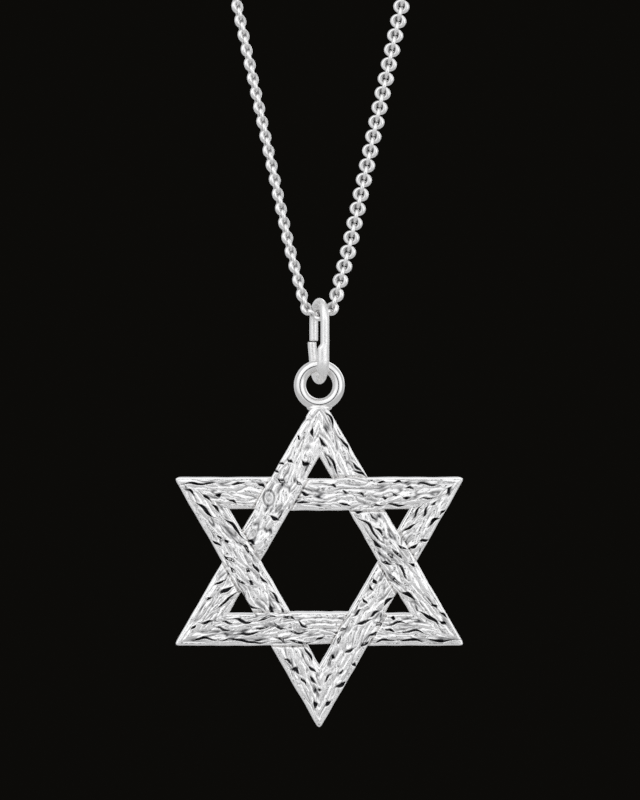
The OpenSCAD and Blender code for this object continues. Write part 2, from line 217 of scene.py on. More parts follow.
RIGHT_DOWN_BAR = [
    (75, 40, 79, 44.5, 2, 0.3), (59, 36.5, 69, 38, 1.3, 0.5), (67, 33, 70, 35.5, 1.4, 0),
    (62, 26.5, 65, 33, 1.4, 0.4), (56, 25.5, 61, 33, 1.5, 0.5), (50.5, 17.5, 58, 23, 1.5, 0.8),
    (65, 21, 72, 26, 2, 0.4), (72, 28.5, 75, 31.5, 1.5, 0), (60, 11.5, 65, 13, 1.5, 0.3),
    (53, 6, 59, 10, 1.6, 0.4), (31.5, -10, 34, -13.5, 2.4, 0), (29.5, -14.5, 32.5, -17.5, 1.5, 0),
    (26, -22, 29, -25, 1.5, 0), (20, -32.5, 25, -28.5, 1.5, 0.4), (30, -33, 35.5, -29.5, 2, 0.4),
    (21, -39, 32, -35, 1.6, 0.8), (12.5, -41, 16, -39, 1.6, 0), (12.5, -44, 10.5, -48.5, 2, 0.3),
    (24, -51.5, 30, -46.5, 2, 0.4), (34, -38, 37.5, -36, 2.2, 0), (30, -44, 33.5, -42, 1.5, 0),
    (38, -26.5, 44, -21.5, 2, 0.4), (15, -55.5, 21, -51.5, 1.6, 0.4), (7, -56, 9.5, -58, 2.2, 0),
    (19, -60, 22, -62, 2.2, 0), (10.5, -66, 15, -64.5, 1.5, -0.9), (3, -71, 8, -67, 1.5, 0.3),
    (9, -76, 16, -71.5, 2.4, 0.5), (4, -86.5, 7, -83, 2.2, 0), (-1.5, -76, 1.5, -76.5, 1.5, 0),
]
BOTTOM_BAR = [
    (-75, -47, -61, -46, 1.4, 0.6), (-59, -46, -30, -47, 1.4, -0.9), (-26, -45, -20, -48, 1.5, 0.4),
    (-18, -47.5, -4, -47.5, 1.4, -0.5), (-2, -47, 3, -45, 1.5, 0.3), (33, -48, 45, -47, 1.4, 0.6),
    (47.5, -47, 61, -48, 1.4, 1.3), (63, -47.5, 82, -47.5, 1.3, 0.7), (-52, -34.5, -39, -35, 1.5, -0.7),
    (-37, -35, -24, -33, 1.5, 0.4), (-22, -33, -14, -35, 1.4, 0.5), (-12.5, -35.5, -7, -40, 1.5, 0.5),
    (-62, -39, -52, -40.5, 1.5, -0.6), (-51, -43.5, -34, -43, 1.4, 0.4), (-39, -40, -29.5, -40, 1.4, 0.3),
    (-27, -37, -20.5, -40, 1.5, -0.5), (-19, -42, -9, -42.5, 1.4, 0.4), (-59, -36, -50.5, -37.5, 1.3, 0.3),
    (-71, -37, -63, -35.5, 1.3, 0.3), (42.5, -33, 45.5, -34, 2.2, 0), (39, -37.5, 52, -37, 1.4, 0.6),
    (38, -41, 45.5, -41.5, 1.4, 0.4), (48, -42, 63, -43, 1.4, 0.8),
]
KNOT_X, KNOT_Z, KNOT_R = -30, 37.6, 3.9
print(len(TOP_BAR + LEFT_UP_BAR + RIGHT_UP_BAR + LEFT_DOWN_BAR + RIGHT_DOWN_BAR + BOTTOM_BAR), "crevices")


# %% Depth of the crevices
def crevice_depth(x, z, chart):
    """For each point, 0 to 1: how deep it lies in a charted crevice, and how high on a lip.
    Along a crevice (s from 0 to 1) the half width is 0.33 width sin(pi s)^1.4 + 0.13, and a
    hair line runs on for about a third of its length past both ends. Its middle line bows by
    4 bow s (1 - s) and waves once, from a phase that differs with the place."""
    unit = STAR_R / 100
    depth, lip = np.zeros_like(x), np.zeros_like(x)
    for x1, z1, x2, z2, width, bow in chart:
        run = np.array([x2 - x1, z2 - z1]) * unit
        length = np.hypot(*run)
        s = ((x - x1 * unit) * run[0] + (z - z1 * unit) * run[1]) / length**2
        side = (-(x - x1 * unit) * run[1] + (z - z1 * unit) * run[0]) / length
        near = (s > -0.5) & (s < 1.5) & (np.abs(side) < (width + 2 * abs(bow) + 2) * unit)
        s, side = s[near], side[near]
        inside = np.clip(s, 0, 1)
        wave = (0.2 + 0.025 * length / unit) * np.sin(2 * np.pi * s + 0.7 * x1 + 1.3 * z1)
        middle = (4 * bow * inside * (1 - inside) + wave) * unit
        tail = np.maximum(np.maximum(-s, s - 1), 0) / 0.35
        half = (width * 0.33 * np.sin(np.pi * inside) ** 1.4 + 0.13) * unit
        reach = np.abs(side - middle) / half
        within = 0.5 + 0.5 * smooth_step(np.minimum(inside, 1 - inside) / 0.2)
        strength = np.where(tail > 0, 0.5 * smooth_step(1 - tail), within)
        depth[near] = np.maximum(depth[near], smooth_step(1.45 - reach) * strength)
        lip[near] = np.maximum(lip[near], np.exp(-((reach - 1.9) ** 2) * 2.5) * strength)
    return depth, lip


# %% [markdown]
# ## The star: two woven frames
# The real star is cast in silver: two triangles that pass over and under each other, with bark
# texture on the front and a plain back. Each triangle is a profile carried along a closed path of
# three bars with mitred corners. The profile has a finely sampled front, so that the bark is real
# relief and catches the light, and coarser sides and back. Where a bar passes under, its front
# dips beneath its neighbour, and where it passes over, its back lies a hair deeper.

# %% Profile of a bar
ALONG = 430
FRONT, BACK, SIDE = 58, 11, 3
EDGE_R = 0.16
RELIEF = 0.3
DIP, DIP_REACH, DIP_SLOPE = 0.3, 0.22, 0.3
TUCK_SLOPE = 0.2
BACK_STEP, BACK_REACH = 0.03, 0.6


def profile_stations():
    """Stations round a bar's section, from the inner edge over the front and back: the share
    across the bar (0 inner edge, 1 outer edge) and the share of height (0 back, 1 front)."""
    t = np.linspace(0, 1, FRONT)
    across = t - 0.4 * np.sin(2 * np.pi * t) / (2 * np.pi)
    side = np.linspace(1, 0, SIDE + 2)[1:-1]
    v = np.concatenate([across, np.ones(SIDE), np.linspace(1, 0, BACK), np.zeros(SIDE)])
    h = np.concatenate([np.ones(FRONT), side, np.zeros(BACK), side[::-1]])
    return v, h


# %% [markdown]
# Bark is built up in layers, like a carver would. Broad swells first, then ridges that run along
# the bar: noise stretched lengthwise crosses zero on long wandering lines, and its absolute value
# makes a valley of each. Then the charted crevices are cut in, bent by a little noise so that none
# is ruled. A smooth rim is left along both edges, with a broken seam beside it.

# %% Bark
# The middle lines of a frame's three bars together: a side at the distance a from the middle
# is 2 sqrt(3) a long.
WHOLE = 6 * np.sqrt(3) * (BAR_IN + BAR_OUT) / 2


def stretched(travel, across, long, wide, seed):
    """Noise with cells `long` mm along the bar and `wide` mm across it, closed round the frame."""
    cells = int(round(WHOLE / long))
    return noise(travel / WHOLE * cells, across / wide, cells, seed)


def knot(px, pz):
    """A tall ring and a smaller one inside it, as where a twig left the stem."""
    unit = STAR_R / 100
    d = np.hypot((px - KNOT_X * unit) * 1.2, (pz - KNOT_Z * unit) * 0.85) / (KNOT_R * unit)
    return np.exp(-((d - 1) / 0.16) ** 2) + 0.5 * np.exp(-((d - 0.42) / 0.16) ** 2), smooth_step(1.5 - d)


def bark(px, pz, travel, across, edge, on_top, chart, seed, knotted):
    """Relief in mm and painted shade 0 to 1 of the bark at a point, before the edge is rounded: its
    valleys, scars, seam, knot ring and crevices are darkened as shade in those recesses. Where
    the bar lies on top of another (on_top 1), the bark runs out over the rim."""
    rim = smooth_step((edge + 0.3 * on_top - 0.16) / 0.26)
    swell = stretched(travel, across, 2.6, 1.3, seed)
    bend = 0.26 * swell + 0.08 * stretched(travel, across, 0.9, 0.6, seed + 1)
    long_lines = stretched(travel, across + bend, 2.1, 0.42, seed + 2)
    short_lines = stretched(travel, across + 1.3 * bend, 1.0, 0.27, seed + 3)
    grain = stretched(travel, across, 0.4, 0.2, seed + 4)
    here = smooth_step(stretched(travel, across, 1.2, 0.7, seed + 5) * 1.7 + 0.4)
    there = smooth_step(stretched(travel, across, 0.9, 0.5, seed + 10) * 1.7 + 0.2)
    valley = np.exp(-(long_lines / 0.13) ** 2)
    scar = np.exp(-(short_lines / 0.17) ** 2)

    warp_x = 0.13 * noise(px / 0.9 + 40, pz / 0.9 + 40, 96, seed + 6)
    warp_z = 0.13 * noise(px / 0.9 + 40, pz / 0.9 + 40, 96, seed + 7)
    depth, lip = crevice_depth(px + warp_x, pz + warp_z, chart)
    seam_at = 0.44 + 0.09 * stretched(travel, 0 * across, 1.1, 1, seed + 8)
    seam = np.exp(-((edge - seam_at) / 0.06) ** 2)
    seam = seam * smooth_step(stretched(travel, 0 * across, 1.8, 1, seed + 9) * 2 + 0.3) * (1 - on_top)

    relief = 0.03 * swell + 0.10 * np.abs(long_lines) - 0.08 * valley * here
    relief = relief + 0.06 * np.abs(short_lines) - 0.05 * scar * there
    relief = relief + 0.012 * grain + 0.05 * lip - 0.06 * seam
    # Painted shade: the valleys, scars and seam are darkened where shade falls in them.
    dark = 0.66 * valley * here + 0.36 * scar * there + 0.42 * seam
    if knotted:
        ring, disc = knot(px, pz)
        relief = relief * (1 - 0.6 * disc) - 0.10 * ring + 0.05 * disc
        # Painted shade in the knot's ring groove.
        dark = dark * (1 - 0.6 * disc) + 0.55 * ring
    relief = relief * rim - RELIEF * depth
    # The depth of the crevices is painted shade as well.
    return relief, np.maximum(dark * rim, depth)


# %% Points of one frame
def in_band(distance, reach, slope):
    """How far a point lies in a neighbouring bar's band, 0 to 1, by its distance from the middle
    along that bar's normal. It rises from 0, `reach` mm outside the band, to 1 over `slope` mm."""
    inner = smooth_step((distance - BAR_IN + reach) / slope)
    outer = smooth_step((BAR_OUT + reach - distance) / slope)
    return inner * outer


def frame_points(up, chart, seed):
    """One triangle. Side k has its normal at angle n; a point at share v across lies at the
    distance a(v) from the middle and at x = sigma sqrt(3) a along the bar, sigma from -1 to 1,
    so both ends of a bar lie on the mitre. The front's height is half the thickness, less the
    rounded edge, plus the bark, less the dip at a crossing."""
    v, h = profile_stations()
    sigma = (np.arange(ALONG) + 0.5) / ALONG * 2 - 1
    k, sig = np.meshgrid(np.arange(3), sigma, indexing="ij")
    k, sig = k.reshape(-1, 1), sig.reshape(-1, 1)
    normal = np.radians((30 if up else -30) + 120 * k)
    v, h = v[None, :] + 0 * sig, h[None, :] + 0 * sig

    travel = (k + (sig + 1) / 2) * WHOLE / 3 + 0 * v
    a_in = BAR_IN + HOLE_EASE * smooth_step((np.abs(sig) - 0.68) / 0.06)
    a_in = a_in + 0.035 * stretched(travel, 0 * v, 1.6, 1, seed + 20)
    a_out = BAR_OUT - HOLE_EASE * smooth_step((0.14 - np.abs(sig)) / 0.05)
    a_out = a_out + 0.035 * stretched(travel, 0 * v, 1.4, 1, seed + 21)
    a = a_in + (a_out - a_in) * v
    x = sig * np.sqrt(3) * a
    px, pz = a * np.cos(normal) - x * np.sin(normal), a * np.sin(normal) + x * np.cos(normal)

    under = px * np.cos(normal + np.pi / 3) + pz * np.sin(normal + np.pi / 3)
    over = px * np.cos(normal - np.pi / 3) + pz * np.sin(normal - np.pi / 3)
    dip = in_band(under, DIP_REACH, DIP_SLOPE)
    tuck = in_band(over, 0, TUCK_SLOPE)

    edge = np.minimum(v, 1 - v) * (a_out - a_in)
    across = v * BAR_W
    relief, dark = bark(px, pz, travel, across, edge, tuck, chart, seed, up)
    inset = np.clip(EDGE_R - edge, 0, EDGE_R)
    rounding = (EDGE_R - np.sqrt(EDGE_R**2 - inset**2 + 1e-9)) * (1 - 0.7 * tuck)
    front = STAR_T / 2 - rounding + relief - DIP * dip
    low = -STAR_T / 2 + BACK_STEP * in_band(over, BACK_REACH, BACK_REACH)
    side_top = STAR_T / 2 - EDGE_R - DIP * dip
    height = np.where(h == 1, front, low + (side_top - low) * h)
    # Painted shade on the front: the bark's recesses, plus a painted shadow where the bar dips under its
    # neighbour.
    painted_shade = np.where(h == 1, np.clip(dark + 0.12 * dip, 0, 1), 0)
    return px, pz, height, painted_shade


# %% [markdown]
# Points are blunted softly instead of being cut: beyond a chosen distance from the middle, the
# rest of a point is squeezed towards its limit with tanh, so the outline stays smooth. The top
# point ends lower, in the flat seat of its eye ring.

# %% Blunt the points and build both frames
TIP_START, SEAT_START, SEAT_LIMIT = 13.45, 12.3, 12.85


def blunt(px, pz, angle, start, limit):
    """Beyond `start` along a direction, the distance d becomes start + r tanh((d - start) / r),
    where r is the room up to `limit`."""
    c, s = np.cos(np.radians(angle)), np.sin(np.radians(angle))
    d = px * c + pz * s
    room = limit - start
    gain = np.where(d > start, start + room * np.tanh((d - start) / room) - d, 0)
    return px + gain * c, pz + gain * s


def build_frame(name, up, chart, seed, nodes):
    """One triangle as a piece, with its points blunted and the painted shade of its bark's hollows stored."""
    px, pz, height, painted_shade = frame_points(up, chart, seed)
    for angle in (90, 210, 330) if up else (30, 150, 270):
        seat = up and angle == 90
        start, limit = (SEAT_START, SEAT_LIMIT) if seat else (TIP_START, STAR_R - TIP_CUT)
        px, pz = blunt(px, pz, angle, start, limit)
    rows, cols = px.shape
    points = np.stack([px, -height, pz + STAR_Z], -1).reshape(-1, 3)
    faces = grid_faces(rows, cols, True, True, True)
    return make_piece(name, points, faces, "star", nodes, {"painted_shade": painted_shade})


star_up = build_frame("star_up_triangle", True, LEFT_UP_BAR + RIGHT_UP_BAR + BOTTOM_BAR, 11, ["star"])
star_down = build_frame("star_down_triangle", False, TOP_BAR + LEFT_DOWN_BAR + RIGHT_DOWN_BAR, 47, [])

# %% [markdown]
# ## Round wire
# Eye ring, bail, clasp and links are all round wire bent to a curve, and the same sweep makes
# them: a circle is carried along a path, square to it. For a flat path one side direction is
# the path's own normal, which never turns, so the tube has no twist.

# %% Sweep along a flat path
def sweep(path, normal, radius, sides, closed, wide=1.0):
    """Point (i, j) = path[i] + radius[i] (cos(t) side + wide[i] sin(t) normal), with t = 2 pi j
    / sides and side square to both the path's direction and the fixed normal."""
    path, normal = np.asarray(path, float), np.asarray(normal, float)
    if closed:
        ahead = np.roll(path, -1, 0) - np.roll(path, 1, 0)
    else:
        ahead = np.gradient(path, axis=0)
    ahead /= np.linalg.norm(ahead, axis=1, keepdims=True)
    side = np.cross(normal[None], ahead)
    side /= np.linalg.norm(side, axis=1, keepdims=True)
    t = 2 * np.pi * np.arange(sides) / sides
    radius, wide = (np.broadcast_to(np.asarray(x, float), len(path))[:, None, None] for x in (radius, wide))
    ring = np.cos(t)[None, :, None] * side[:, None] + wide * np.sin(t)[None, :, None] * normal[None, None]
    return path[:, None] + radius * ring


def joined(parts):
    """Several (points, faces) as one pair of lists, with each part's indices moved on."""
    points, faces, start = [], [], 0
    for p, f in parts:
        p = np.asarray(p).reshape(-1, 3)
        points.append(p)
        faces += (np.asarray(f) + start).tolist()
        start += len(p)
    return np.concatenate(points), faces


def circle_path(radius, centre, steps):
    """A circle in the plane y = 0: centre + radius (cos t, 0, sin t)."""
    t = 2 * np.pi * np.arange(steps) / steps
    return np.stack([radius * np.cos(t), 0 * t, radius * np.sin(t)], -1) + np.asarray(centre)


def closed_tube(path, normal, radius, sides):
    """Points and faces of a tube round a closed flat path."""
    return sweep(path, normal, radius, sides, True), grid_faces(len(path), sides, True, True, True)


# %% [markdown]
# ## Eye ring and solder
# A ring of round wire stands on the star's top point, and solder has run into the corner on
# both sides. The ring is a torus. The solder is a flattened ball that the ring and the point
# both sink into, which is how a bead of solder sits.

# %% Eye ring
def ball(centre, radii, rows, cols):
    """An ellipsoid: centre + radii (sin a cos b, sin a sin b, cos a), with its poles closed to
    a small ring of quads around a cap."""
    a = np.linspace(0.001, np.pi - 0.001, rows)[:, None]
    b = (2 * np.pi * np.arange(cols) / cols)[None, :]
    p = np.stack([np.sin(a) * np.cos(b), np.sin(a) * np.sin(b), np.cos(a) + 0 * b], -1)
    faces = grid_faces(rows, cols, False, True).tolist()
    faces += [list(range(cols)), list(range(rows * cols - 1, (rows - 1) * cols - 1, -1))]
    return p.reshape(-1, 3) * np.asarray(radii) + np.asarray(centre), faces


EYE_STEPS, EYE_SIDES = 96, 28
SOLDER_Z = EYE_Z - EYE_R - EYE_WIRE / 4 - 0.02
SOLDER_RADII = (1.05, 0.62, 0.34)
eye_path = circle_path(EYE_R, (0, 0, EYE_Z), EYE_STEPS)
eye_points, eye_faces = closed_tube(eye_path, (0, 1, 0), EYE_WIRE / 2, EYE_SIDES)
solder_points, solder_faces = ball((0, 0, SOLDER_Z), SOLDER_RADII, 24, 40)
all_points = np.concatenate([eye_points.reshape(-1, 3), solder_points])
all_faces = eye_faces.tolist() + [[i + EYE_STEPS * EYE_SIDES for i in f] for f in solder_faces]
eye_ring = make_piece("star_eye_ring", all_points, np.array(all_faces, object), "star")

# %% [markdown]
# ## The bail
# An oval ring of wire, bent round and sawn, whose two ends never meet quite true: on the back
# leg there is a fine gap, and one end stands a little to the side. So its path isn't closed. It
# starts just below the saw cut, runs round the bottom, up the front leg, over the top and down
# to the cut again, and the first stretch leans aside by the offset. The lower front leg was
# squeezed broad by the pliers, so the wire's section widens there towards the back leg.

# %% Bail
BAIL_STEPS, BAIL_SIDES = 200, 24
BAIL_JOINT, BAIL_OFFSET, OFFSET_RUN = 0.08, 0.15, 2.2
BAIL_BROAD, BROAD_TOP, BROAD_END, BROAD_EASE = 1.4, -0.2, -2.4, 0.5


def oval_path(steps):
    """Points at even distances round an oval of two half circles and two straights, in its own
    plane (u, w), from the middle of the left leg down and round to the same place."""
    r, straight = (BAIL_W - BAIL_WIRE) / 2, BAIL_H - BAIL_W
    total = 2 * np.pi * r + 2 * straight
    d = np.linspace(BAIL_JOINT / 2, total - BAIL_JOINT / 2, steps)
    u, w = np.empty(steps), np.empty(steps)
    half, arc = straight / 2, np.pi * r
    legs = [0, half, half + arc, half + arc + straight, half + 2 * arc + straight, total]
    for i, start in enumerate(legs[:-1]):
        m = (d >= start) & (d <= legs[i + 1])
        e = d[m] - start
        turn = e / r
        u[m] = [-r + 0 * e, -r * np.cos(turn), r + 0 * e, r * np.cos(turn), -r + 0 * e][i]
        w[m] = [-e, -half - r * np.sin(turn), -half + e, half + r * np.sin(turn), half - e][i]
    return u, w, d


def build_bail():
    """The oval in its own upright plane, which is turned by the yaw. The first stretch leans aside,
    the broad stretch leans by half of what it gains in width, and the sawn ends taper by a tenth."""
    u, w, d = oval_path(BAIL_STEPS)
    yaw = np.radians(BAIL_YAW)
    across = np.array([np.sin(yaw), -np.cos(yaw), 0])
    normal = np.array([np.cos(yaw), np.sin(yaw), 0])
    lean = BAIL_OFFSET * (1 - smooth_step(d / OFFSET_RUN))
    broad = smooth_step((BROAD_TOP - w) / BROAD_EASE) * smooth_step((w - BROAD_END) / BROAD_EASE + 1)
    broad = broad * (u > 0) * smooth_step(u / 1.2)
    lean = lean + (BAIL_BROAD - 1) * broad * BAIL_WIRE / 2
    path = u[:, None] * across + w[:, None] * np.array([0, 0, 1]) - lean[:, None] * normal
    path[:, 2] += BAIL_Z
    ends = np.minimum(d - d[0], d[-1] - d)
    radius = BAIL_WIRE / 2 * (1 - 0.10 * np.exp(-ends / 0.03))
    points = sweep(path, normal, radius, BAIL_SIDES, False, 1 + (BAIL_BROAD - 1) * broad)
    faces = grid_faces(BAIL_STEPS, BAIL_SIDES, False, True, True).tolist()
    last = (BAIL_STEPS - 1) * BAIL_SIDES
    faces += [list(range(BAIL_SIDES - 1, -1, -1)), list(range(last, last + BAIL_SIDES))]
    return make_piece("bail_ring", points.reshape(-1, 3), np.array(faces, object), "bail",
                      ["bail"])


bail = build_bail()

# %% [markdown]
# ## The route of the chain
# A hanging chain is nearly straight between its supports. From its lowest point in the bail it
# turns up, leans out a little more at the foot, runs straight, and closes in a round arc where
# a neck or a hook would hold it. The radius of that arc follows from the length of the chain,
# just as in the solid, and its height is checked against the solid's box.

# %% Route
LOOP_LENGTH, STRAND_LEAN, FOOT_LEAN, FOOT_LENGTH, BEND_R = 450.0, 12.2, 14.8, 5.0, 1.3
END_INSET = 0.6
lean, foot = np.radians(STRAND_LEAN), np.radians(FOOT_LEAN)
foot_x = BEND_R * np.cos(foot) + FOOT_LENGTH * np.sin(foot)
top_r = (LOOP_LENGTH - 2 * FOOT_LENGTH + 2 * foot_x / np.sin(lean) - BEND_R * (np.pi - 2 * foot)) / (
    2 / np.tan(lean) + np.pi + 2 * lean)
strand_length = (top_r * np.cos(lean) - foot_x) / np.sin(lean)
TOP_Z = CLASP_Z - top_r
END_X = clasp_high[0] - END_INSET


def half_route():
    """The right half of the route from the lowest point up to the clasp, as dense points:
    bend, foot, strand and top arc one after the other."""
    bend_z = CHAIN_Z + BEND_R
    a = np.linspace(np.pi / 2, foot, 40)
    bend = np.stack([BEND_R * np.cos(a), bend_z - BEND_R * np.sin(a)], -1)
    d = np.linspace(0, FOOT_LENGTH, 40)[1:, None]
    feet = bend[-1] + d * np.array([np.sin(foot), np.cos(foot)])
    d = np.linspace(0, strand_length, 600)[1:, None]
    strand = feet[-1] + d * np.array([np.sin(lean), np.cos(lean)])
    a = np.linspace(np.pi / 2 + lean, np.arcsin(END_X / top_r), 600)[1:]
    arc = np.stack([top_r * np.sin(a), TOP_Z + top_r * np.cos(a)], -1)
    return np.concatenate([bend, feet, strand, arc])


right = half_route()
route = np.concatenate([(right * [-1, 1])[::-1], right[1:]])
steps = np.hypot(*np.diff(route, axis=0).T)
travelled = np.concatenate([[0], np.cumsum(steps)])
print(f"top arc {top_r:.2f} mm, chain {travelled[-1]:.1f} mm without its clasp,",
      f"top of the route {route[:, 1].max():.2f}, solid's {chain_top - CHAIN_D / 2:.2f}")

# %% [markdown]
# ## Belcher links
# The chain is a close belcher chain: short, nearly round links of broad oval wire, each turned
# from its neighbours, and so tight that the next links nearly fill each hole. Seen flat, every
# second link shows as a bead and the one between as its neck. Wide and narrow links take turns,
# and the narrow ones turn by less than a right angle. Every link of one width has the same
# shape, so all of them are worked out in one array: the link's own points are placed by each
# link's middle, direction and roll. The chain also rolls about its own direction as it goes,
# which is why one strand of the photograph looks narrower than the other.

# %% One link
LINK_PITCH, LINK_WIRE = 0.616, 0.29
WIDE_LINK, WIDE_BAND, WIDE_SIDE = 1.38, 0.42, 1.6
NARROW_LINK, NARROW_BAND, NARROW_SIDE = 0.94, 0.36, 1.0
ROLL_LEFT, ROLL_RIGHT = -54.0, -12.0
TURN_LEFT, TURN_RIGHT = -52.0, -76.0


def link_mesh(length, width, band, fuller, steps, sides):
    """One link. Its wire's middle line is the ellipse (l cos t, w sin t, 0), with l and w half the
    link's length and width, less half the wire's thickness there. The wire is an oval: LINK_WIRE
    thick at the ends, where the next links pass, `fuller` times that at the sides, and `band` wide
    along the link's axis. The stored hollow is painted shade, growing towards the inside of the wire, where
    the next links pass."""
    t = 2 * np.pi * (np.arange(steps) + 0.5) / steps
    half_l, half_w = (length - LINK_WIRE) / 2, (width - fuller * LINK_WIRE) / 2
    path = np.stack([half_l * np.cos(t), half_w * np.sin(t), 0 * t], -1)
    out = np.stack([half_w * np.cos(t), half_l * np.sin(t), 0 * t], -1)
    out /= np.linalg.norm(out, axis=1, keepdims=True)
    a = 2 * np.pi * (np.arange(sides) + 0.5) / sides
    thick = LINK_WIRE / 2 * (1 + (fuller - 1) * np.sin(t) ** 2)
    bulge = thick[:, None] * np.cos(a)[None]
    points = path[:, None] + bulge[..., None] * out[:, None]
    points[..., 2] += band / 2 * np.sin(a)
    # Painted shade: the inner side of the wire, towards the link's hole and its neighbours, is darkened.
    hollow = np.broadcast_to(np.clip(0.15 - 0.85 * np.cos(a), 0, 1)[None], (steps, sides))
    return points.reshape(-1, 3), grid_faces(steps, sides, True, True), hollow.ravel()


# %% All links
def route_at(distance):
    """The route's x and z at distances along it."""
    return np.stack([np.interp(distance, travelled, route[:, i]) for i in (0, 1)], -1)


def place(shape, distance, roll):
    """Point = middle + x ahead + y side + z up, where ahead follows the route and side and up
    are turned about it by the roll."""
    run = route_at(distance + LINK_PITCH / 2) - route_at(distance - LINK_PITCH / 2)
    run /= np.linalg.norm(run, axis=1, keepdims=True)
    zero = 0 * run[:, 0]
    ahead = np.stack([run[:, 0], zero, run[:, 1]], -1)
    flat = np.stack([run[:, 1], zero, -run[:, 0]], -1)
    turn = np.radians(roll)[:, None]
    side = flat * np.cos(turn) + np.array([[0.0, 1.0, 0.0]]) * np.sin(turn)
    up = np.cross(ahead, side)
    middle = route_at(distance)
    middle = np.stack([middle[:, 0], zero, middle[:, 1]], -1)
    x, y, z = (shape[None, :, i:i + 1] for i in range(3))
    return middle[:, None] + x * ahead[:, None] + y * side[:, None] + z * up[:, None]


def many_links(which, steps, sides, width, band, fuller):
    """Points, faces and hollow values of the chosen links, all of one shape."""
    shape, faces, hollow = link_mesh(LINK_PITCH + 2 * LINK_WIRE, width, band, fuller, steps, sides)
    points = place(shape, at[which], roll[which])
    offset = np.arange(len(points))[:, None, None] * len(shape)
    return points.reshape(-1, 3), (faces[None] + offset).reshape(-1, 4), np.tile(hollow, len(points))


def reach_at(x):
    """How far along the route, from its lowest point, the top arc comes to this x."""
    return lowest - top_r * (np.arcsin(x / top_r) - np.arcsin(END_X / top_r))


FIRST_LINK_X, PICTURE_REACH = 5.22, 29
lowest = travelled[-1] / 2
reach = reach_at(FIRST_LINK_X)
# A multiple of four steps makes the lowest link and both end links wide ones.
count = 4 * int(round(reach / LINK_PITCH / 2)) + 1
at = lowest + np.linspace(-reach, reach, count)
share = smooth_step((at - lowest + 1.5) / 8)
roll = ROLL_LEFT + (ROLL_RIGHT - ROLL_LEFT) * share
roll = roll * smooth_step((reach - np.abs(at - lowest)) / 60)
narrow = np.arange(count) % 2 == 1
roll = roll + (TURN_LEFT + (TURN_RIGHT - TURN_LEFT) * share) * narrow
near = np.abs(at - lowest) < PICTURE_REACH
print(f"{count} links of {2 * reach / (count - 1):.3f} mm, {near.sum()} in the picture's part of the chain")

# %% [markdown]
# The last link on each side is joined to the clasp's end loop by a small round ring, since the
# loop's wire is too thick for a link's hole.

# %% Chain pieces
END_RING, END_RING_X = 1.46, 4.5


def end_rings():
    """Both end rings, each standing square to the clasp's loop."""
    shape, faces, hollow = link_mesh(END_RING, END_RING, WIDE_BAND, 1, 24, 6)
    middle = lowest + np.array([-1, 1]) * reach_at(END_RING_X)
    points = place(shape, middle, np.array([90.0, 90.0]))
    return points.reshape(-1, 3), np.concatenate([faces, faces + len(shape)]), np.tile(hollow, 2)


def chain_piece(name, parts, nodes):
    """Several sets of links as one piece."""
    points, faces = joined([part[:2] for part in parts])
    hollow = np.concatenate([part[2] for part in parts])
    return make_piece(name, points, faces, "necklace", nodes, {"painted_shade": hollow})


front_links = chain_piece("chain_front_links", [
    many_links(near & ~narrow, 28, 8, WIDE_LINK, WIDE_BAND, WIDE_SIDE),
    many_links(near & narrow, 24, 8, NARROW_LINK, NARROW_BAND, NARROW_SIDE)], ["chain"])
other_links = chain_piece("chain_other_links", [
    many_links(~near & ~narrow, 14, 4, WIDE_LINK, WIDE_BAND, WIDE_SIDE),
    many_links(~near & narrow, 14, 4, NARROW_LINK, NARROW_BAND, NARROW_SIDE), end_rings()], [])

# %% [markdown]
# ## The clasp
# The clasp lies outside the photograph, at the top of the loop, so it is one plain piece: a
# ring of polished wire with an end loop soldered to each side for the chain's last links.

# %% Clasp
CLASP_D, CLASP_WIRE, LOOP_D, LOOP_WIRE = 6.0, 1.2, 1.9, 0.5
loop_x = clasp_high[0] - LOOP_D / 2


def wire_ring(x, outer, wire, steps, sides):
    """A ring of round wire, `outer` mm over all, in the plane y = 0 at the clasp's height."""
    path = circle_path((outer - wire) / 2, (x, 0, CLASP_Z), steps)
    return closed_tube(path, (0, 1, 0), wire / 2, sides)


clasp_points, clasp_faces = joined([
    wire_ring(0, CLASP_D, CLASP_WIRE, 96, 24),
    wire_ring(loop_x, LOOP_D, LOOP_WIRE, 40, 14),
    wire_ring(-loop_x, LOOP_D, LOOP_WIRE, 40, 14),
])
clasp = make_piece("clasp_ring", clasp_points, clasp_faces, "necklace", ["clasp"])

# %% [markdown]
# ## Silver
# Polished silver has almost no colour of its own: it shows its surroundings, slightly warm. What
# tells one silver surface from another is its roughness, its fine scratches, and the darkness in
# its hollows, which is painted here as shade. Two effects are shared by several finishes, so each
# is a node group: fine wear, which breaks up the gloss, and shade painting, which darkens hollows.

# %% Shared effects
# The second colour is the near black of the shade painted into hollows.
CLEAN_TONE, SHADE_COLOUR = (0.9, 0.89, 0.88, 1), (0.03, 0.03, 0.035, 1)


def group_tree(name, inputs, outputs):
    """A shader node group with named sockets: inputs are (name, type, default)."""
    tree = bpy.data.node_groups.new(name, "ShaderNodeTree")
    for key, kind, default in inputs:
        socket = tree.interface.new_socket(key, in_out="INPUT", socket_type=kind)
        if default is not None:
            socket.default_value = default
    for key, kind in outputs:
        tree.interface.new_socket(key, in_out="OUTPUT", socket_type=kind)
    return tree, tree.nodes.new("NodeGroupInput"), tree.nodes.new("NodeGroupOutput")


def ramp(tree, source, stops):
    """A colour ramp fed by source, with stops of (place, grey)."""
    node = tree.nodes.new("ShaderNodeValToRGB")
    node.color_ramp.elements[0].position, node.color_ramp.elements[1].position = stops[0][0], stops[-1][0]
    for place, grey in stops[1:-1]:
        node.color_ramp.elements.new(place)
    for element, (place, grey) in zip(node.color_ramp.elements, stops):
        element.color = (grey, grey, grey, 1)
    tree.links.new(source, node.inputs["Fac"])
    return node.outputs["Color"]


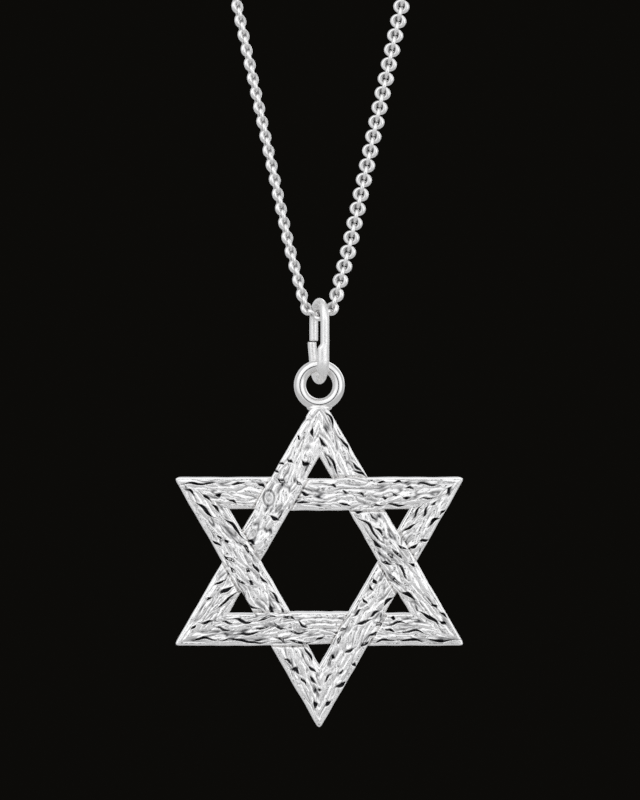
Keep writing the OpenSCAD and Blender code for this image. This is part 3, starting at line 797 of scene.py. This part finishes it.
def math_node(tree, operation, *values):
    """A math node whose values are numbers or the outputs of other nodes."""
    node = tree.nodes.new("ShaderNodeMath")
    node.operation = operation
    for socket, value in zip(node.inputs, values):
        if isinstance(value, (int, float)):
            socket.default_value = value
        else:
            tree.links.new(value, socket)
    return node.outputs[0]


def noise_node(tree, scale, detail, place):
    """Noise of `scale` cells to a unit, with `detail` finer layers, read at a place."""
    node = tree.nodes.new("ShaderNodeTexNoise")
    node.inputs["Scale"].default_value, node.inputs["Detail"].default_value = scale, detail
    tree.links.new(place, node.inputs["Vector"])
    return node.outputs["Fac"]


def build_fine_wear():
    """Roughness and height from two sizes of noise and from thin stretched scratches, in Object
    coordinates, where one unit is a metre."""
    tree, given, out = group_tree(
        "fine_wear",
        [("Scale", "NodeSocketFloat", 1.0), ("Base Roughness", "NodeSocketFloat", 0.15),
         ("Roughness Change", "NodeSocketFloat", 0.15)],
        [("Roughness", "NodeSocketFloat"), ("Height", "NodeSocketFloat")])
    place = tree.nodes.new("ShaderNodeTexCoord")
    scaled = tree.nodes.new("ShaderNodeVectorMath")
    scaled.operation = "SCALE"
    tree.links.new(place.outputs["Object"], scaled.inputs[0])
    tree.links.new(given.outputs["Scale"], scaled.inputs["Scale"])
    stretch = tree.nodes.new("ShaderNodeMapping")
    stretch.inputs["Scale"].default_value = (5000, 1500, 22000)
    stretch.inputs["Rotation"].default_value = (0.3, 0.6, 0.4)
    tree.links.new(scaled.outputs[0], stretch.inputs["Vector"])
    soft = noise_node(tree, 900, 3, scaled.outputs[0])
    grain = noise_node(tree, 9000, 2, scaled.outputs[0])
    scratch = noise_node(tree, 1, 2, stretch.outputs[0])
    thin = ramp(tree, scratch, [(0.55, 0), (0.62, 1), (0.69, 0)])
    mixed = math_node(tree, "ADD", math_node(tree, "MULTIPLY", soft, 0.6),
                      math_node(tree, "MULTIPLY", thin, 0.4))
    change = math_node(tree, "MULTIPLY", mixed, given.outputs["Roughness Change"])
    rough = math_node(tree, "ADD", change, given.outputs["Base Roughness"])
    height = math_node(tree, "SUBTRACT", math_node(tree, "MULTIPLY", grain, 0.5), thin)
    tree.links.new(rough, out.inputs["Roughness"])
    tree.links.new(height, out.inputs["Height"])
    return tree


def build_shade_painting():
    """Painted shade: colour between clean silver and near black, by a stored hollow value and a soft noise,
    darkening hollows where shade falls.
    """
    tree, given, out = group_tree(
        "shade_painting",
        [("Hollow", "NodeSocketFloat", 0.0), ("Clean", "NodeSocketColor", CLEAN_TONE),
         ("Shade", "NodeSocketColor", SHADE_COLOUR), ("Strength", "NodeSocketFloat", 1.0)],
        [("Color", "NodeSocketColor"), ("Mask", "NodeSocketFloat")])
    place = tree.nodes.new("ShaderNodeTexCoord")
    cloud = noise_node(tree, 1600, 3, place.outputs["Object"])
    uneven = math_node(tree, "ADD", math_node(tree, "MULTIPLY", cloud, 0.5), 0.75)
    hollow = math_node(tree, "MULTIPLY", given.outputs["Hollow"], given.outputs["Strength"])
    mask = math_node(tree, "MINIMUM", math_node(tree, "MULTIPLY", hollow, uneven), 1.0)
    mix = tree.nodes.new("ShaderNodeMix")
    mix.data_type = "RGBA"
    tree.links.new(mask, mix.inputs["Factor"])
    tree.links.new(given.outputs["Clean"], mix.inputs[6])
    tree.links.new(given.outputs["Shade"], mix.inputs[7])
    tree.links.new(mix.outputs[2], out.inputs["Color"])
    tree.links.new(mask, out.inputs["Mask"])
    return tree


fine_wear, shade_painting = build_fine_wear(), build_shade_painting()


# %% [markdown]
# Each finish is a Principled BSDF with Metallic at 1. Its colour comes from the shade painting
# group, which paints shade into hollows, its roughness from fine wear plus a rougher finish where
# the shade is painted, and its normal from a Bump node. The star reads the painted shade stored in
# its relief's hollows, and the links that inside each link. The bail's wire is satin, rougher than
# the polished rings, so its broad stretch stays pale.

# %% Finishes
def silver(name, clean, roughness, change, bump, wear_scale=1.0, hollow=None, strength=1.0):
    """One finish: its clean colour, its roughness and how far wear changes that, the height of its
    scratches, and the stored value of painted hollow shade that darkens it."""
    material = bpy.data.materials.new(name)
    material.use_nodes = True
    tree = material.node_tree
    shader = tree.nodes["Principled BSDF"]
    shader.inputs["Metallic"].default_value = 1.0
    wear = tree.nodes.new("ShaderNodeGroup")
    wear.node_tree = fine_wear
    wear.inputs["Scale"].default_value = wear_scale
    wear.inputs["Base Roughness"].default_value = roughness
    wear.inputs["Roughness Change"].default_value = change
    # Painted shade in the hollows, read from the stored attribute.
    shade_node = tree.nodes.new("ShaderNodeGroup")
    shade_node.node_tree = shade_painting
    shade_node.inputs["Clean"].default_value = clean
    shade_node.inputs["Shade"].default_value = SHADE_COLOUR
    shade_node.inputs["Strength"].default_value = strength
    if hollow:
        stored = tree.nodes.new("ShaderNodeAttribute")
        stored.attribute_name = hollow
        tree.links.new(stored.outputs["Fac"], shade_node.inputs["Hollow"])
    tree.links.new(shade_node.outputs["Color"], shader.inputs["Base Color"])
    dull = math_node(tree, "MULTIPLY", shade_node.outputs["Mask"], 0.35)
    tree.links.new(math_node(tree, "ADD", wear.outputs["Roughness"], dull), shader.inputs["Roughness"])
    relief = tree.nodes.new("ShaderNodeBump")
    relief.inputs["Strength"].default_value = bump
    relief.inputs["Distance"].default_value = 0.02 * MM
    tree.links.new(wear.outputs["Height"], relief.inputs["Height"])
    tree.links.new(relief.outputs["Normal"], shader.inputs["Normal"])
    return material


# The clean colours differ by finish as painted light and shade: the satin, link and polished silvers are
# darker copies of the bark's silver, set to dim their reflections.
bark_silver = silver("bark_silver", (0.94, 0.93, 0.92, 1), 0.10, 0.16, 0.35, 1.0, "painted_shade", 1.15)
polished_silver = silver("polished_silver", (0.84, 0.83, 0.82, 1), 0.06, 0.12, 0.08)
satin_silver = silver("satin_silver", (0.91, 0.90, 0.89, 1), 0.30, 0.16, 0.35)
link_silver = silver("link_silver", (0.88, 0.87, 0.86, 1), 0.10, 0.12, 0.2, 1.3, "painted_shade", 0.62)
for piece, material in (
        (star_up, bark_silver), (star_down, bark_silver), (eye_ring, polished_silver), (bail, satin_silver),
        (clasp, polished_silver), (front_links, link_silver), (other_links, link_silver)):
    piece.data.materials.append(material)
print("finishes:", [m.name for m in (bark_silver, polished_silver, satin_silver, link_silver)])

# %% [markdown]
# ## Light, floor and surroundings
# Silver is photographed inside something bright, or it comes out black. Large soft panels stand
# in front on both sides, above and behind, and a bright tent fills the gaps between them. The
# camera itself sees a dark ground, while reflections see the bright room. A plain pale floor lies
# below, out of the photograph's view.

# %% Panels
def panel(name, offset, width, height, power):
    """An area light, `offset` metres away from the star's middle and facing it."""
    place = star_at + Vector(offset)
    data = bpy.data.lights.new(name, "AREA")
    data.shape, data.size, data.size_y, data.energy = "RECTANGLE", width, height, power
    lamp = bpy.data.objects.new(name, data)
    lamp.location = place
    lamp.rotation_euler = (star_at - place).to_track_quat("-Z", "Y").to_euler()
    bpy.context.scene.collection.objects.link(lamp)


star_at = Vector((0, 0, STAR_Z * MM))
panel("key_panel", (-0.45, -0.5, 0.45), 0.5, 0.6, 0.4)
panel("fill_panel", (0.55, -0.45, 0.1), 0.45, 0.6, 0.3)
panel("top_panel", (0.0, -0.15, 0.7), 0.7, 0.5, 0.4)
panel("back_panel", (0.3, 0.6, 0.3), 0.5, 0.5, 0.6)

# %% [markdown]
# The tent round the silver isn't even. In front there is a dark opening for the lens, and every
# face that looks straight at the camera reflects it: it draws the thin dark lines along the crests
# of ridges and rings. The tent's front is brightest, its sides and its lower part are greyer, so
# slopes differ. A shader sees a direction in the world as its Generated vector, and the brightness
# is a colour ramp of how far that direction points to the front.

# %% World
TENT_STRENGTH = 1.17
ROOM_COLOUR, GROUND_COLOUR = (0.97, 0.98, 1.0, 1), (0.0037, 0.0034, 0.0028, 1)


def build_world():
    """The tent for reflections and light, and the dark ground for the camera's own rays."""
    world = bpy.data.worlds.new("light_tent")
    bpy.context.scene.world = world
    world.use_nodes = True
    tree = world.node_tree
    tree.nodes.clear()
    place = tree.nodes.new("ShaderNodeTexCoord")
    parts = tree.nodes.new("ShaderNodeSeparateXYZ")
    tree.links.new(place.outputs["Generated"], parts.inputs[0])
    to_front = math_node(tree, "MULTIPLY_ADD", parts.outputs["Y"], -0.5, 0.5)
    up = math_node(tree, "MULTIPLY_ADD", parts.outputs["Z"], 0.5, 0.5)
    around = ramp(tree, to_front, [(0.0, 0.65), (0.3, 0.55), (0.5, 0.5), (0.66, 0.72), (0.80, 0.93),
                                   (0.987, 0.96), (0.994, 0.12), (1.0, 0.06)])
    height = ramp(tree, up, [(0.0, 0.5), (0.3, 0.68), (0.5, 0.96), (1.0, 1.0)])
    glow = math_node(tree, "MULTIPLY", around, height)
    room, dark = tree.nodes.new("ShaderNodeBackground"), tree.nodes.new("ShaderNodeBackground")
    room.inputs["Color"].default_value = ROOM_COLOUR
    tree.links.new(math_node(tree, "MULTIPLY", glow, TENT_STRENGTH), room.inputs["Strength"])
    dark.inputs["Color"].default_value = GROUND_COLOUR
    rays, either = tree.nodes.new("ShaderNodeLightPath"), tree.nodes.new("ShaderNodeMixShader")
    tree.links.new(rays.outputs["Is Camera Ray"], either.inputs["Fac"])
    tree.links.new(room.outputs[0], either.inputs[1])
    tree.links.new(dark.outputs[0], either.inputs[2])
    out = tree.nodes.new("ShaderNodeOutputWorld")
    tree.links.new(either.outputs[0], out.inputs["Surface"])


build_world()
bpy.context.scene.view_settings.view_transform = "Standard"
print("tent strength", TENT_STRENGTH)

# %% [markdown]
# The floor is a disc with a rounded edge, turned from a short profile. Its finish is a matt
# painted board with a faint grain.

# %% Floor
FLOOR_DROP, FLOOR_STEPS = 60, 96


def build_floor():
    """A turned disc: profile points (radius, height) carried round in FLOOR_STEPS steps."""
    profile = np.array([[0.001, 0], [295, 0], [299, -1], [300, -4], [299, -8], [0.001, -8]])
    t = 2 * np.pi * np.arange(FLOOR_STEPS) / FLOOR_STEPS
    points = np.stack([profile[:, :1] * np.cos(t), profile[:, :1] * np.sin(t), profile[:, 1:] + 0 * t], -1)
    points[..., 2] += star_low[2] - FLOOR_DROP
    faces = grid_faces(len(profile), FLOOR_STEPS, False, True).tolist()
    mesh = bpy.data.meshes.new("floor")
    mesh.from_pydata((points.reshape(-1, 3) * MM).tolist(), [], faces)
    floor = bpy.data.objects.new("floor", mesh)
    bpy.context.scene.collection.objects.link(floor)
    board = bpy.data.materials.new("pale_board")
    board.use_nodes = True
    tree = board.node_tree
    place = tree.nodes.new("ShaderNodeTexCoord")
    grain = noise_node(tree, 120, 2, place.outputs["Object"])
    shader = tree.nodes["Principled BSDF"]
    tree.links.new(ramp(tree, grain, [(0.3, 0.58), (0.7, 0.64)]), shader.inputs["Base Color"])
    shader.inputs["Roughness"].default_value = 0.6
    mesh.materials.append(board)
    return floor


floor = build_floor()
print(f"floor {star_low[2] - floor.data.vertices[0].co.z / MM:.0f} mm below the star")

# %% [markdown]
# ## Finish
# The dressed object has to stay in the solids' box.

# %% Finish
bpy.context.view_layer.update()
